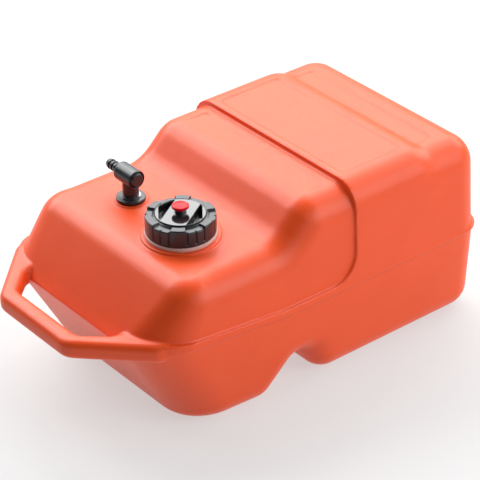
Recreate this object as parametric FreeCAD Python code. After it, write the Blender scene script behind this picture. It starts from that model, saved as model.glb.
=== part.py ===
"""A portable outboard fuel tank: a blow-moulded shell with a carry handle, a vented filler cap and a swivelling pickup elbow.

Millimetres. X runs across the tank, Y from the handle (minus) to the tall end (plus), Z up.
The origin is on the floor, under the middle of the overall box.
"""
import FreeCAD, Part
import math, os

Vector = FreeCAD.Vector

spare = 20.0                  # how far hidden or cutting shapes run on past what they meet

# Tank body
overall_length = 566.0        # front of the handle to the rear rim
body_width = 309.0            # across the rim at the parting line
wall = 4.0                    # blow-moulded wall
parting_height = 113.0        # parting line along the rear half
parting_rise = 15.0           # how much higher it lies at the handle
parting_rise_front = -190.0   # where the rise ends
parting_rise_rear = -35.0     # where the rise starts
rise_round_front = 200.0
rise_round_rear = 300.0
band_top = 242.7              # raised band across the top
band_step = 6.3               # how far the band stands proud of the top
side_step = 4.0               # how far it stands proud of the front half's sides
band_front = 72.0             # its sharp front edge
band_rear = 184.0             # its soft rear edge
band_rear_run = 17.0          # length of the soft ramp behind it
band_rear_head_round = 38.0
band_rear_foot_round = 20.0
deck_height = 196.6           # low front deck that carries the fittings
deck_front = -165.0
body_front = -227.4           # front wall at the parting line
slope_foot = -28.0            # foot of the slope between the decks
slope_head = 10.0             # head of that slope
slope_round = 40.0            # both bends of the slope, seen from the side
upper_draft = 6.0             # how much each side leans in from the parting line to the band top
lower_ledge = 2.0             # how far the lower half sits inside the rim
lower_draft = 4.0             # how much each lower side leans in down to the floor
front_lean = 17.0             # how much it leans in at the floor's front edge
side_bend = 20.0              # length over which the lower sides start to close in
rear_ledge = 6.0              # how far the upper rear wall sits inside the rim
rear_draft = 3.0
rim_height = 4.0              # flat rim above the parting line at the rear
skirt_height = 9.4            # height of the side skirt above the parting line
skirt_bend = 37.0             # bend from the skirt up into the band
skirt_round = 100.0           # bends of the skirt where the parting line rises
skirt_set_back = 2.5          # behind the front wall, where the skirt runs out
floor_front = -159.6          # front edge of the floor, before rounding
floor_rear = 277.0
upper_round = 35.0            # rounding between top and sides
lower_round = 28.0            # rounding between floor and sides
rear_corner = 36.0            # plan corners of the tall end
front_corner = 60.0           # plan corners of the front
deck_corner = 36.5            # the same corners up at the deck

# Strap groove across the underside
groove_front = -52.0
groove_rear = 27.0
groove_height = 42.0
groove_top_front = -13.0
groove_top_rear = 5.0
groove_lip = 30.0
groove_round_front = 12.0
groove_round_rear = 10.0

# Carry handle
handle_thickness = 24.0
handle_bar = 24.0             # bar width at the front
handle_front_half = 64.0      # half length of the front bar, before rounding
handle_root_half = 142.0      # half width where the handle leaves the body
slot_front_half = 58.0
slot_rear_half = 85.0
slot_bend_y = -229.0
handle_round = 9.0
handle_root_round = 40.0
handle_corner_round = 26.0
slot_bend_round = 22.0
slot_corner_round = 14.0

# Filler neck and cap
filler_x = 41.5
filler_y = -99.0
neck_bore = 54.0
neck_root = 62.4              # diameter between the threads
neck_height = 16.5            # above the deck
thread_depth = 1.9
thread_lead = 8.0
thread_turns = 0.75
thread_starts = 2
thread_width = 1.5            # at the root
thread_crest_width = 0.75
thread_gap = 0.4              # play between crest and root
collar_diameter = 93.0
collar_height = 2.2
collar_round = 1.8
ring_diameter = 84.0
ring_height = 4.7
ring_bore_gap = 0.3
cap_diameter = 82.0
cap_height = 19.5
cap_hole = 59.2               # opening in the top of the cap shell
cap_lip = 2.6                 # how far the top rises from the rim to that opening
cap_lip_width = 3.2           # over which it rises
cap_wall = 4.7
cap_rim_width = 8.0           # flat rim outside the rise
lug_count = 6
lug_height = 2.7
lug_overhang = 1.6            # how far the lugs reach in over the rise
lug_depth = 3.0               # their root below the rim
lug_round = 1.6
lug_arc = 28.0                # degrees
lug_first = 18.0              # direction of the first lug, degrees
grip_grooves = 3              # grooves in the skirt between two lugs
grip_groove_pitch = 15.0      # degrees
grip_groove_width = 2.6
grip_groove_depth = 1.3
grip_groove_foot = 2.8        # where they stop above the foot of the skirt
shell_play = 0.2              # between the cap shell and the insert
insert_set_up = 0.4           # foot of the insert above the foot of the shell
gasket_height = 2.0
insert_plate = 1.5
web_rise = 10.2               # top of the web above the plate
plug_depth = 6.5
plug_diameter = 51.0          # part of the insert that dips into the neck
pocket_diameter = 56.4
pocket_flat = 24.6            # distance of the flat in its outer side from the cap's axis
pocket_flat_turn = 21.0       # direction of that flat, degrees from the pocket's own
pocket_depth = 9.9
pocket_turn = 32.0            # direction of the first finger pocket, degrees
web_width = 31.4              # between the two pockets
seat_gap = 0.3

# Vent screw in the cap
hub_diameter = 13.6
hub_rise = 4.0                # above the web
vent_knob_diameter = 20.4
vent_knob_height = 5.8
vent_knob_rim_height = 2.9    # where the flare meets the head
vent_crown_diameter = 11.2    # flatter middle of the head
vent_stem_grip = 4.0          # length of the stem inside the knob
vent_knob_foot = 13.0
vent_stem_diameter = 6.0
vent_play = 0.16              # running fit of the stem in the hub
vent_seat_height = 2.5
vent_seat_diameter = 9.6
vent_tip_diameter = 3.8
vent_hole = 3.0
vent_ring_section = 1.6
vent_travel = 3.0
vent_head_room = 0.6          # above the seal when the vent is fully open
ring_gap = 0.05               # round every O-ring

# Pickup fitting
pickup_x = -57.4
pickup_y = -96.0
boss_diameter = 40.7
boss_height = 1.2
boss_depth = 10.0             # below the deck, for the flange's thread
boss_round = 0.8
flange_diameter = 35.0
flange_height = 3.4
flange_gasket_height = 1.0
flange_collar_diameter = 19.5
flange_collar_height = 3.4
socket_gap = 0.4              # below the end of the swivelling spigot
flange_thread_diameter = 25.6
flange_thread_length = 12.0
fit_gap = 0.2                 # radial play of a part that is fixed in a hole
swivel_gap = 0.08             # radial play of the swivelling spigot
swivel_bore = 15.0
spigot_length = 16.0
ring_section = 1.8
ring_first = 3.0              # from the end of a spigot to the middle of its first O-ring
ring_pitch = 4.0              # between the two on the swivelling spigot
stem_diameter = 19.5
barrel_height = 32.0          # barrel axis above the deck
barrel_diameter = 23.0
barrel_left = 19.0            # from the stem axis towards the hose
barrel_right = 13.0           # from the stem axis to the end round the plug
barrel_left_round = 3.0
barrel_right_round = 1.0
fuel_bore = 6.4
clip_height = 1.2
clip_gap = 0.1                # play of the clip in its slot
clip_rise = 0.3               # above the flange
clip_bite = 1.2               # how far it reaches in past the bore
clip_direction = -129.0       # direction of its open side, degrees
clip_diameter = 23.6
clip_opening = 80.0           # degrees left open
plug_head = 2.5               # depth of its seat in the barrel
plug_head_diameter = 17.8
plug_head_gap = 0.8           # open ring round the head
plug_proud = 1.8              # how far the head stands out of the barrel
port_diameter = 13.0          # both end ports of the barrel
plug_length = 8.0
plug_chamfer = 1.8
barb_length = 22.0
barb_collar = 12.0
barb_collar_length = 1.6
barb_neck = 3.0               # plain length before the first ridge
barb_crest = 12.6
barb_root = 10.0
barb_land = 1.4               # flat crest of each ridge
barb_count = 3
barb_tail = 9.0
tube_outer = 12.0
tube_bore = 9.0
nipple_length = 12.0
strainer_diameter = 16.0
strainer_height = 20.0
strainer_clear = 5.0          # above the inside of the floor
strainer_slots = 8
strainer_slot_width = 3.0
strainer_grip = 6.0
strainer_foot = 1.6           # thickness of its closed end
strainer_band = 3.0           # solid below and above the slots

# Positions worked out from the sizes above
half_length = overall_length / 2
groove_middle = (groove_top_front + groove_top_rear) / 2
rim_half = body_width / 2
lower_top_half = rim_half - lower_ledge
parting_front = parting_height + parting_rise
deck_top_height = band_top - band_step
rear_rim = half_length
rear_upper = rear_rim - rear_ledge
handle_front = -half_length
neck_top = deck_height + neck_height
collar_top = deck_height + collar_height
ring_top = collar_top + ring_height
cap_foot = ring_top + seat_gap
cap_top = ring_top + cap_height
shell_bore = cap_diameter / 2 - cap_wall
plate_foot = neck_top + gasket_height
plate_top = plate_foot + insert_plate
boss_top = deck_height + boss_height
flange_foot = boss_top + flange_gasket_height
flange_top = flange_foot + flange_height
collar_head = flange_top + flange_collar_height
barrel_axis = deck_height + barrel_height
neck_base = neck_root + 2 * thread_depth + 1.0
thread_foot = ring_top + 1.6
boss_bore = flange_thread_diameter + 2 * fit_gap
plug_foot = plate_foot - plug_depth
web_top = plate_top + web_rise
pocket_floor = web_top - pocket_depth
hub_head = web_top + hub_rise
seat_top = plug_foot + vent_seat_height
vent_chamber_top = seat_top + vent_ring_section + vent_travel + vent_head_room
knob_foot = hub_head + seat_gap
stem_top = knob_foot + vent_stem_grip
spigot_foot = collar_head + seat_gap - spigot_length
flange_tail = flange_foot - flange_thread_length
nipple_foot = flange_tail - nipple_length
nipple_diameter = tube_bore - 2 * ring_gap
clip_foot = flange_top + clip_rise
clip_bore = swivel_bore - 2 * clip_bite
ring_groove = ring_section + 6 * ring_gap
ring_root = swivel_bore - 2 * ring_section - 4 * ring_gap
plug_face = barrel_right + plug_proud
ring_heights = (spigot_foot + ring_first + ring_pitch, spigot_foot + ring_first)
port_ring_root = port_diameter - 2 * ring_section - 2 * ring_gap
plug_groove = barrel_right - plug_head - plug_length + ring_first
barb_groove = -barrel_left + barb_tail - ring_first
strainer_top = wall + strainer_clear + strainer_height


def side(x):
    return lambda y, z: Vector(x, y, z)


def front(y):
    return lambda x, z: Vector(x, y, z)


def plan(z):
    return lambda x, y: Vector(x, y, z)


def rounded_wire(corners, place):
    """A closed wire through (u, v, radius) corners; a radius of 0 leaves the corner sharp."""
    ends = []
    count = len(corners)
    for i in range(count):
        u, v, radius = corners[i]
        before = Vector(corners[i - 1][0] - u, corners[i - 1][1] - v, 0)
        after = Vector(corners[(i + 1) % count][0] - u, corners[(i + 1) % count][1] - v, 0)
        shorter = min(before.Length, after.Length)
        before.normalize()
        after.normalize()
        corner = Vector(u, v, 0)
        if radius <= 0:
            ends.append((corner, None, corner))
            continue
        half = before.getAngle(after) / 2
        radius = min(radius, shorter * 0.49 * math.tan(half))
        middle = (before + after).normalize()
        reach = radius / math.tan(half)
        centre = corner + middle * (radius / math.sin(half))
        ends.append((corner + before * reach, centre - middle * radius, corner + after * reach))
    edges = []
    for i in range(count):
        start, bend, stop = ends[i]
        if bend is not None:
            edges.append(Part.Arc(place(start.x, start.y), place(bend.x, bend.y), place(stop.x, stop.y)).toShape())
        following = ends[(i + 1) % count][0]
        if (following - stop).Length > 1e-4:
            edges.append(Part.LineSegment(place(stop.x, stop.y), place(following.x, following.y)).toShape())
    return Part.Wire(edges)


def shrink(corners, inset, open_edges=()):
    """Moves each edge of a counter-clockwise outline inwards; open edges move outwards, to overlap a neighbour."""
    if inset == 0:
        return corners
    count = len(corners)
    lines = []
    for i in range(count):
        start = Vector(corners[i][0], corners[i][1], 0)
        stop = Vector(corners[(i + 1) % count][0], corners[(i + 1) % count][1], 0)
        along = (stop - start).normalize()
        inward = Vector(-along.y, along.x, 0)
        shift = -inset if i in open_edges else inset
        lines.append((start + inward * shift, along))
    moved = []
    for i in range(count):
        (p, d), (q, e) = lines[i - 1], lines[i]
        turn = d.x * e.y - d.y * e.x
        distance = ((q.x - p.x) * e.y - (q.y - p.y) * e.x) / turn
        point = p + d * distance
        radius = corners[i][2]
        if radius > 0:
            radius = max(radius - inset, 1.0) if turn > 0 else radius + inset
        moved.append((point.x, point.y, radius))
    return moved


def pushed_across(corners):
    """The side outline pushed right across the tank."""
    return Part.Face(rounded_wire(corners, side(-rim_half * 2))).extrude(Vector(rim_half * 4, 0, 0))


def leaning_sides(low, low_half, high, high_half):
    """The space between two flat sides that lean in."""
    section = [(-low_half, low, 0), (low_half, low, 0), (high_half, high, 0), (-high_half, high, 0)]
    return Part.Face(rounded_wire(section, front(-half_length * 2))).extrude(Vector(0, half_length * 4, 0))


def sharp_edges(solid, wanted):
    """Edges where two faces meet at an angle and whose middle and direction pass the test."""
    picked = []
    for edge in solid.Edges:
        middle = (edge.FirstParameter + edge.LastParameter) / 2
        point = edge.valueAt(middle)
        faces = solid.ancestorsOfType(edge, Part.Face)
        if len(faces) != 2 or not wanted(point, edge.tangentAt(middle)):
            continue
        normals = [face.normalAt(*face.Surface.parameter(point)) for face in faces]
        if normals[0].getAngle(normals[1]) > 0.12:
            picked.append(edge)
    return picked


def rounded(solid, radius, wanted):
    return solid.makeFillet(radius, sharp_edges(solid, wanted)).Solids[0]


def tapered_corners(solid, low_radius, high_radius, wanted):
    """Rounds leaning corner edges with a radius that changes from the lower end to the upper end."""
    count = len(sharp_edges(solid, wanted))
    for step in range(count):
        edge = sharp_edges(solid, wanted)[0]
        rising = edge.valueAt(edge.FirstParameter).z < edge.valueAt(edge.LastParameter).z
        first, last = (low_radius, high_radius) if rising else (high_radius, low_radius)
        solid = solid.makeFillet(first, last, [edge]).Solids[0]
    return solid


def parting_at(y):
    """Height of the parting line."""
    share = (parting_rise_rear - y) / (parting_rise_rear - parting_rise_front)
    return parting_height + parting_rise * min(max(share, 0.0), 1.0)


def floor_space(inset):
    """The space between the sides of the tub, which close in towards the floor's front edge."""
    levels = []
    for z in (-spare, parting_front + spare):
        share = z / parting_front
        wide = lower_top_half - lower_draft * (1 - share) - inset
        narrow = lower_top_half - front_lean * (1 - share) - inset
        nose = floor_front + (body_front - floor_front) * share - spare
        behind = half_length + spare
        edges = []
        for half, start in ((wide, behind), (-wide, groove_middle)):
            poles = [Vector(half, groove_middle, z), Vector(half, groove_middle - side_bend, z)]
            poles.append(Vector(math.copysign(narrow, half), nose, z))
            curve = Part.BezierCurve()
            curve.setPoles(poles if half > 0 else poles[::-1])
            straight = [Vector(half, behind, z), Vector(half, groove_middle, z)]
            line = Part.makePolygon(straight if half > 0 else straight[::-1]).Edges[0]
            edges += [line, curve.toShape()] if half > 0 else [curve.toShape(), line]
            cross = nose if half > 0 else behind
            inner = narrow if half > 0 else -wide
            outer = -narrow if half > 0 else wide
            edges.append(Part.makePolygon([Vector(inner, cross, z), Vector(outer, cross, z)]).Edges[0])
        levels.append(Part.Wire(edges))
    return Part.makeLoft(levels, True, True)


def lower_half(inset):
    """The tub below the parting line, with the strap groove across its floor."""
    rear_top = rear_rim - lower_ledge
    outline = [
        (floor_front, 0, 0),
        (groove_front, 0, groove_lip),
        (groove_top_front, groove_height, groove_round_front),
        (groove_top_rear, groove_height, groove_round_rear),
        (groove_rear, 0, groove_lip),
        (floor_rear, 0, 0),
        (rear_top, parting_height, 0),
        (parting_rise_rear, parting_height, rise_round_rear),
        (parting_rise_front, parting_front, rise_round_front),
        (body_front, parting_front, 0),
    ]
    outline = shrink(outline, inset, (6, 7, 8))
    tub = pushed_across(outline).common(floor_space(inset))

    def front_edge(point, along):
        return abs(along.z) > 0.6 and point.y < floor_front + inset + 1

    def rear_edge(point, along):
        return abs(along.z) > 0.6 and point.y > floor_rear - inset - 1

    def foot(point, along):
        return point.z < parting_at(point.y) - 2.0

    tub = rounded(tub, front_corner - inset, front_edge)
    tub = rounded(tub, rear_corner - inset, rear_edge)
    return rounded(tub, lower_round - inset * 1.5, foot)


def front_half(inset):
    """The low front deck, the slope behind it and the start of the upper deck."""
    outline = [
        (body_front, parting_front, 0),
        (parting_rise_front, parting_front, rise_round_front),
        (parting_rise_rear, parting_height, rise_round_rear),
        (band_rear, parting_height, 0),
        (band_rear, deck_top_height, 0),
        (slope_head, deck_top_height, slope_round),
        (slope_foot, deck_height, slope_round),
        (deck_front, deck_height, 0),
    ]
    outline = shrink(outline, inset, (0, 1, 2))
    low_half = rim_half - side_step - inset
    body = pushed_across(outline).common(
        leaning_sides(parting_height, low_half, band_top, low_half - upper_draft)
    )

    def corner(point, along):
        return abs(along.z) > 0.4 and point.y < deck_front

    def top(point, along):
        return point.z > parting_at(point.y) + 12.0 and point.y < band_rear - inset - 0.5

    body = tapered_corners(body, front_corner - inset, deck_corner - inset, corner)
    return rounded(body, upper_round - inset, top)


def rear_half(inset):
    """The raised band, the tall rear end and the side skirt that runs forward from them."""
    skirt_rear = parting_height + skirt_height
    skirt_tip = parting_front + skirt_height
    front_lie = (deck_front - body_front) / (deck_height - parting_front)
    skirt_front = body_front + skirt_set_back
    outline = [
        (skirt_front, parting_front, 0),
        (parting_rise_front, parting_front, rise_round_front),
        (parting_rise_rear, parting_height, rise_round_rear),
        (rear_upper, parting_height, 0),
        (rear_upper - rear_draft, deck_top_height, 0),
        (band_rear + band_rear_run, deck_top_height, band_rear_foot_round),
        (band_rear, band_top, band_rear_head_round),
        (band_front, band_top, 0),
        (band_front, skirt_rear, skirt_bend),
        (parting_rise_rear, skirt_rear, skirt_round),
        (parting_rise_front, skirt_tip, skirt_round),
        (skirt_front + skirt_height * front_lie, skirt_tip, 0),
    ]
    outline = shrink(outline, inset, (0, 1, 2))
    low_half = rim_half - inset
    corner_round = front_corner + side_step - inset
    footprint = [
        (-low_half, skirt_front + inset, corner_round),
        (low_half, skirt_front + inset, corner_round),
        (low_half, half_length + 1, 0),
        (-low_half, half_length + 1, 0),
    ]
    standing = Part.Face(rounded_wire(footprint, plan(0))).extrude(Vector(0, 0, half_length * 2))
    body = pushed_across(outline).common(standing).common(
        leaning_sides(parting_height, low_half, band_top, low_half - upper_draft)
    )

    def corner(point, along):
        return abs(along.z) > 0.7 and point.y > band_rear + band_rear_run

    def top(point, along):
        return point.z > parting_height + 12.0 and point.y > band_front + inset + 0.5

    return rounded(rounded(body, rear_corner - inset, corner), upper_round - inset, top)


def rim():
    """The flat rim that the upper half leaves round the tall end at the parting line."""
    outline = [
        (-rim_half, band_front, 0),
        (rim_half, band_front, 0),
        (rim_half, rear_rim, rear_corner),
        (-rim_half, rear_rim, rear_corner),
    ]
    return Part.Face(rounded_wire(outline, plan(parting_height))).extrude(Vector(0, 0, rim_height))


def handle(inset):
    """The moulded loop in the plane of the parting line."""
    root_y = handle_front + handle_root_half - handle_front_half
    outer = [
        (-handle_root_half, root_y + spare, 0),
        (-handle_root_half, root_y, handle_root_round),
        (-handle_front_half, handle_front, handle_corner_round),
        (handle_front_half, handle_front, handle_corner_round),
        (handle_root_half, root_y, handle_root_round),
        (handle_root_half, root_y + spare, 0),
    ]
    slot_front_y = handle_front + handle_bar
    slot = [
        (-slot_rear_half, root_y + spare * 2, 0),
        (-slot_rear_half, slot_bend_y, slot_bend_round),
        (-slot_front_half, slot_front_y, slot_corner_round),
        (slot_front_half, slot_front_y, slot_corner_round),
        (slot_rear_half, slot_bend_y, slot_bend_round),
        (slot_rear_half, root_y + spare * 2, 0),
    ]
    half = handle_thickness / 2 - inset
    low = parting_front - half
    slab = Part.Face(rounded_wire(shrink(outer, inset, (5,)), plan(low))).extrude(Vector(0, 0, half * 2))
    hole = Part.Face(rounded_wire(shrink(slot, -inset), plan(low))).extrude(Vector(0, 0, half * 2))

    def grip(point, along):
        return abs(point.z - parting_front) > half - 0.01 and abs(along.z) < 0.01 and point.y < root_y + spare - 1

    return rounded(slab.cut(hole), handle_round - inset, grip)


def disc(x, y, low, high, diameter, hole=0.0):
    body = Part.makeCylinder(diameter / 2, high - low, Vector(x, y, low))
    if hole > 0:
        body = body.cut(Part.makeCylinder(hole / 2, high - low + 2, Vector(x, y, low - 1)))
    return body


def turned(x, y, outline):
    """A solid of revolution about a vertical axis, from (radius, height, corner radius) points."""
    face = Part.Face(rounded_wire(outline, lambda r, z: Vector(x + r, y, z)))
    return face.revolve(Vector(x, y, 0), Vector(0, 0, 1), 360)


def on_x(x, y, z, outline):
    """A solid of revolution about an axis along X, from (distance along X, radius, corner radius) points."""
    face = Part.Face(rounded_wire(outline, lambda along, r: Vector(x + along, y, z + r)))
    return face.revolve(Vector(x, y, z), Vector(1, 0, 0), 360)


def o_ring(centre, direction, middle_diameter, section):
    return Part.makeTorus(middle_diameter / 2, section / 2, centre, direction)


def threads(low, root, crest, shift):
    """Right-hand ridges of the filler thread, from a root radius to a crest radius."""
    ridges = []
    bury = 0.5 if crest > root else -0.5
    for start in range(thread_starts):
        helix = Part.makeHelix(thread_lead, thread_lead * thread_turns, root)
        section = [
            (root - bury, -thread_width / 2),
            (root - bury, thread_width / 2),
            (crest, thread_crest_width / 2),
            (crest, -thread_crest_width / 2),
        ]
        wire = Part.makePolygon([Vector(r, 0, z) for r, z in section + section[:1]])
        ridge = helix.makePipeShell([wire], True, True)
        ridge.rotate(Vector(0, 0, 0), Vector(0, 0, 1), 360.0 / thread_starts * start)
        ridge.translate(Vector(filler_x, filler_y, low + shift))
        ridges.append(ridge)
    return ridges


def sector(x, y, low, high, outer, middle, spread):
    """A pie-shaped block centred on an angle, in degrees."""
    start = math.radians(middle - spread / 2)
    stop = math.radians(middle + spread / 2)
    reach = outer * 3
    corners = [
        Vector(x, y, low),
        Vector(x + reach * math.cos(start), y + reach * math.sin(start), low),
        Vector(x + reach * math.cos(stop), y + reach * math.sin(stop), low),
        Vector(x, y, low),
    ]
    return Part.Face(Part.makePolygon(corners)).extrude(Vector(0, 0, high - low))


def build_tank_shell():
    outer = lower_half(0)
    for piece in (front_half(0), rear_half(0), rim(), handle(0)):
        outer = outer.fuse(piece)
    collar = disc(filler_x, filler_y, deck_height - wall, collar_top, collar_diameter)
    collar = rounded(collar, collar_round, lambda point, along: point.z > collar_top - 0.01)
    base = disc(filler_x, filler_y, deck_height - wall, ring_top, neck_base)
    neck = disc(filler_x, filler_y, deck_height - wall, neck_top, neck_root)
    boss = disc(pickup_x, pickup_y, deck_height - boss_depth, boss_top, boss_diameter)
    boss = rounded(boss, boss_round, lambda point, along: point.z > boss_top - 0.01)
    for piece in (collar, base, neck):
        outer = outer.fuse(piece)
    inner = lower_half(wall)
    for piece in (front_half(wall), rear_half(wall), handle(wall)):
        inner = inner.fuse(piece)
    shell = outer.cut(inner).fuse(boss)
    shell = shell.cut(disc(filler_x, filler_y, deck_height - spare, neck_top + spare, neck_bore))
    shell = shell.cut(disc(pickup_x, pickup_y, deck_height - spare, boss_top + spare, boss_bore))
    for ridge in threads(thread_foot, neck_root / 2, neck_root / 2 + thread_depth, 0):
        shell = shell.fuse(ridge)
    return shell.removeSplitter()


def build_collar_ring():
    """Flat rubber ring between the moulded collar and the cap."""
    bore = neck_base / 2 + ring_bore_gap
    return turned(filler_x, filler_y, [
        (bore, collar_top, 0),
        (ring_diameter / 2, collar_top, 0.8),
        (ring_diameter / 2, ring_top, 1.6),
        (bore, ring_top, 0),
    ])


def build_cap_shell():
    """Outer grip ring of the cap, with six raised lugs and grooves between them."""
    radius = cap_diameter / 2
    lip = radius - cap_rim_width
    shell = turned(filler_x, filler_y, [
        (shell_bore, cap_foot, 0),
        (radius, cap_foot, 0.6),
        (radius, cap_top, 1.6),
        (lip, cap_top, 1.0),
        (lip - cap_lip_width, cap_top + cap_lip, 0.6),
        (cap_hole / 2, cap_top + cap_lip, 0),
        (cap_hole / 2, plate_top, 0),
        (shell_bore, plate_top, 0),
    ])
    middle = 360.0 / lug_count / 2
    for lug in range(lug_count):
        for number in range(grip_grooves):
            turn = lug_first + 360.0 / lug_count * lug + middle
            turn += (number - (grip_grooves - 1) / 2) * grip_groove_pitch
            angle = math.radians(turn)
            reach = radius + grip_groove_width / 2 - grip_groove_depth
            groove = disc(
                filler_x + reach * math.cos(angle), filler_y + reach * math.sin(angle),
                cap_foot + grip_groove_foot, cap_top + 1, grip_groove_width,
            )
            shell = shell.cut(groove)
    crown = turned(filler_x, filler_y, [
        (lip - lug_overhang, cap_top - lug_depth, 0),
        (radius, cap_top - lug_depth, 0),
        (radius, cap_top + lug_height, lug_round),
        (lip - lug_overhang, cap_top + lug_height, lug_round),
    ])
    for lug in range(lug_count):
        turn = lug_first + 360.0 / lug_count * lug
        wedge = sector(filler_x, filler_y, cap_top - spare, cap_top + spare, radius, turn, lug_arc)
        shell = shell.fuse(crown.common(wedge))
    return shell.removeSplitter()


def beyond(distance, turn, low, high):
    """The space past a flat wall that stands at a distance from the cap's axis, facing an angle in degrees."""
    block = Part.makeBox(cap_diameter, cap_diameter * 2, high - low, Vector(distance, -cap_diameter, low))
    block.rotate(Vector(0, 0, 0), Vector(0, 0, 1), turn)
    block.translate(Vector(filler_x, filler_y, 0))
    return block


def pocket(turn):
    """One finger pocket beside the web: a slice of a round hollow, with a flat in its outer side."""
    head = web_top + 1
    hollow = disc(filler_x, filler_y, pocket_floor, head, pocket_diameter)
    hollow = hollow.common(beyond(web_width / 2, turn, pocket_floor, head))
    return hollow.cut(beyond(pocket_flat, turn + pocket_flat_turn, pocket_floor, head))


def build_cap_insert():
    """Threaded inner part of the cap, with the finger pockets and the vent hub."""
    bore = neck_root / 2 + thread_depth + thread_gap
    outside = shell_bore - shell_play
    insert = turned(filler_x, filler_y, [
        (0, plug_foot, 0),
        (plug_diameter / 2, plug_foot, 1.0),
        (plug_diameter / 2, plate_foot, 0),
        (bore, plate_foot, 0),
        (bore, cap_foot + insert_set_up, 0),
        (outside, cap_foot + insert_set_up, 0),
        (outside, plate_top, 0),
        (cap_hole / 2 - shell_play, plate_top, 0),
        (cap_hole / 2 - shell_play, web_top, 0.8),
        (hub_diameter / 2, web_top, 0.6),
        (hub_diameter / 2, hub_head, 0.8),
        (0, hub_head, 0),
    ])
    insert = insert.cut(pocket(pocket_turn)).cut(pocket(pocket_turn + 180))
    insert = insert.cut(disc(filler_x, filler_y, plug_foot - 1, hub_head + 1, vent_stem_diameter + vent_play))
    insert = insert.cut(disc(filler_x, filler_y, plug_foot - 1, vent_chamber_top, vent_seat_diameter + 2 * ring_gap))
    for ridge in threads(thread_foot, bore, neck_root / 2 + thread_gap, thread_lead / thread_starts / 2):
        insert = insert.fuse(ridge)
    return insert.removeSplitter()


def build_cap_gasket():
    """Flat seal between the end of the neck and the insert, inside the insert's thread."""
    return disc(filler_x, filler_y, neck_top, plate_foot, neck_root, plug_diameter + 2 * seat_gap)


def build_vent_seat():
    return disc(filler_x, filler_y, plug_foot, seat_top, vent_seat_diameter, vent_hole)


def build_vent_o_ring():
    centre = Vector(filler_x, filler_y, seat_top + ring_gap + vent_ring_section / 2)
    return o_ring(centre, Vector(0, 0, 1), vent_tip_diameter + 2 * ring_gap + vent_ring_section, vent_ring_section)


def build_vent_stem():
    shoulder = seat_top + 3 * ring_gap + vent_ring_section
    return turned(filler_x, filler_y, [
        (0, seat_top + seat_gap, 0),
        (vent_tip_diameter / 2, seat_top + seat_gap, 0.3),
        (vent_tip_diameter / 2, shoulder, 0),
        (vent_stem_diameter / 2, shoulder, 0),
        (vent_stem_diameter / 2, stem_top, 0.5),
        (0, stem_top, 0),
    ])


def build_vent_knob():
    top = knob_foot + vent_knob_height
    radius = vent_knob_diameter / 2
    knob = turned(filler_x, filler_y, [
        (0, knob_foot, 0),
        (vent_knob_foot / 2, knob_foot, 0.6),
        (radius, knob_foot + vent_knob_rim_height, 1.4),
        (radius, top - 1.2, 1.0),
        (vent_crown_diameter / 2, top, 8.0),
        (0, top, 0),
    ])
    return knob.cut(disc(filler_x, filler_y, knob_foot - 1, stem_top, vent_stem_diameter + 2 * ring_gap))


def build_pickup_flange():
    """Screwed-in base of the pickup: a socket for the elbow above and a nipple for the dip tube below."""
    socket = spigot_foot - socket_gap
    flange = turned(pickup_x, pickup_y, [
        (fuel_bore / 2, nipple_foot, 0),
        (nipple_diameter / 2, nipple_foot, 0.5),
        (nipple_diameter / 2, flange_tail, 0),
        (flange_thread_diameter / 2, flange_tail, 1.0),
        (flange_thread_diameter / 2, flange_foot, 0),
        (flange_diameter / 2, flange_foot, 0),
        (flange_diameter / 2, flange_top, 1.2),
        (flange_collar_diameter / 2, flange_top, 0.8),
        (flange_collar_diameter / 2, collar_head, 0.8),
        (swivel_bore / 2, collar_head, 0),
        (swivel_bore / 2, socket, 0),
        (fuel_bore / 2, socket, 0),
    ])
    return flange.cut(clip_blank(clip_gap))


def build_flange_gasket():
    inner = flange_thread_diameter + 2 * fit_gap
    return disc(pickup_x, pickup_y, boss_top, flange_foot, flange_diameter - 1.0, inner)


def clip_blank(play):
    """The horseshoe clip, or with some play the slot that it slides into."""
    low = clip_foot - play
    high = clip_foot + clip_height + play
    ring = disc(pickup_x, pickup_y, low, high, clip_diameter + 2 * play, clip_bore - 2 * play)
    gap = sector(pickup_x, pickup_y, low - 1, high + 1, clip_diameter, clip_direction, clip_opening - play * 4)
    return ring.cut(gap)


def build_retaining_clip():
    return clip_blank(0)


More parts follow.
